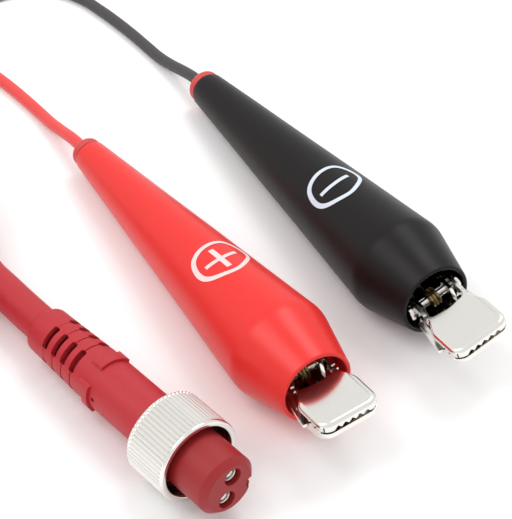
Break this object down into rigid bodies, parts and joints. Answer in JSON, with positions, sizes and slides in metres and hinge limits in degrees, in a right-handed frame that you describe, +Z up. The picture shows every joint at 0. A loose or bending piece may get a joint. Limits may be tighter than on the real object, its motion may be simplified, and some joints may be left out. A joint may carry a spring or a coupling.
{
  "type": "alligator clip lead",
  "caption": "Twin test lead: booted spring clips on split tails, joined to a round cable that ends in a knurled screw connector.",
  "frame": {"origin": "on the surface the lead lies on, under the middle of the two clips' bounding box, measured without the cords and the connector on them", "axes": "+Z up, -Y the way the clip jaws point, +X towards the black clip"},
  "size_m": [0.1452, 0.1583, 0.0192],
  "materials": {
    "red_boot": "glossy bright red flexible PVC",
    "black_boot": "glossy black flexible PVC",
    "end_bush": "satin crimson rubber",
    "jaw": "bright nickel-plated pressed steel",
    "pin": "nickel-plated steel",
    "spring": "yellow-passivated spring wire",
    "conductor": "bare stranded copper",
    "red_wire": "satin red PVC insulation",
    "black_wire": "matte black PVC insulation",
    "cable_jacket": "matte crimson rubber overmould and jacket",
    "connector_insert": "matte crimson moulded plastic",
    "contact": "plated turned contact",
    "coupling_nut": "satin nickel-plated knurled brass",
    "sealing_ring": "black rubber O-ring",
    "coil_tie": "black strap"
  },
  "bodies": {
    "root": {"red_boot": "red_boot", "black_boot": "black_boot", "red_end_bush": "end_bush", "black_end_bush": "end_bush", "red_lower_jaw": "jaw", "black_lower_jaw": "jaw", "red_pivot_pin": "pin", "black_pivot_pin": "pin", "red_torsion_spring": "spring", "black_torsion_spring": "spring", "red_crimp_ferrule": "pin", "black_crimp_ferrule": "pin", "red_conductor": "conductor", "black_conductor": "conductor", "red_inner_wire": "red_wire", "black_inner_wire": "black_wire", "red_wire": "red_wire", "black_wire": "black_wire", "connector_body": "cable_jacket", "connector_insert": "connector_insert", "positive_contact": "contact", "negative_contact": "contact", "sealing_ring": "sealing_ring", "positive_core": "red_wire", "negative_core": "black_wire", "cable_end_in_body": "cable_jacket", "cable_run": "cable_jacket", "cable_coil": "cable_jacket", "cable_exit_run": "cable_jacket", "split_junction": "cable_jacket", "coil_tie": "coil_tie"},
    "red_upper_jaw": {"red_upper_jaw": "jaw"},
    "black_upper_jaw": {"black_upper_jaw": "jaw"},
    "coupling_nut": {"coupling_nut": "coupling_nut"}
  },
  "joints": [
    {"name": "red_jaw_hinge", "type": "hinge", "parent": "root", "child": "red_upper_jaw", "pos_m": [-0.01463, -0.03437, 0.01005], "axis": [-0.9945, -0.0073, -0.1043], "range_deg": [0, 15], "stiffness_Nm_per_rad": 0.06, "springref_deg": -51.57, "deforming": ["red_torsion_spring"]},
    {"name": "black_jaw_hinge", "type": "hinge", "parent": "root", "child": "black_upper_jaw", "pos_m": [0.01448, -0.03178, 0.01035], "axis": [-0.9524, -0.0014, -0.3049], "range_deg": [0, 15], "stiffness_Nm_per_rad": 0.06, "springref_deg": -51.57, "deforming": ["black_torsion_spring"]},
    {"name": "coupling_nut_spin", "type": "hinge", "parent": "root", "child": "coupling_nut", "pos_m": [-0.039, -0.03668, 0.00795], "axis": [0.1407, -0.9885, 0.0558], "continuous": true}
  ]
}
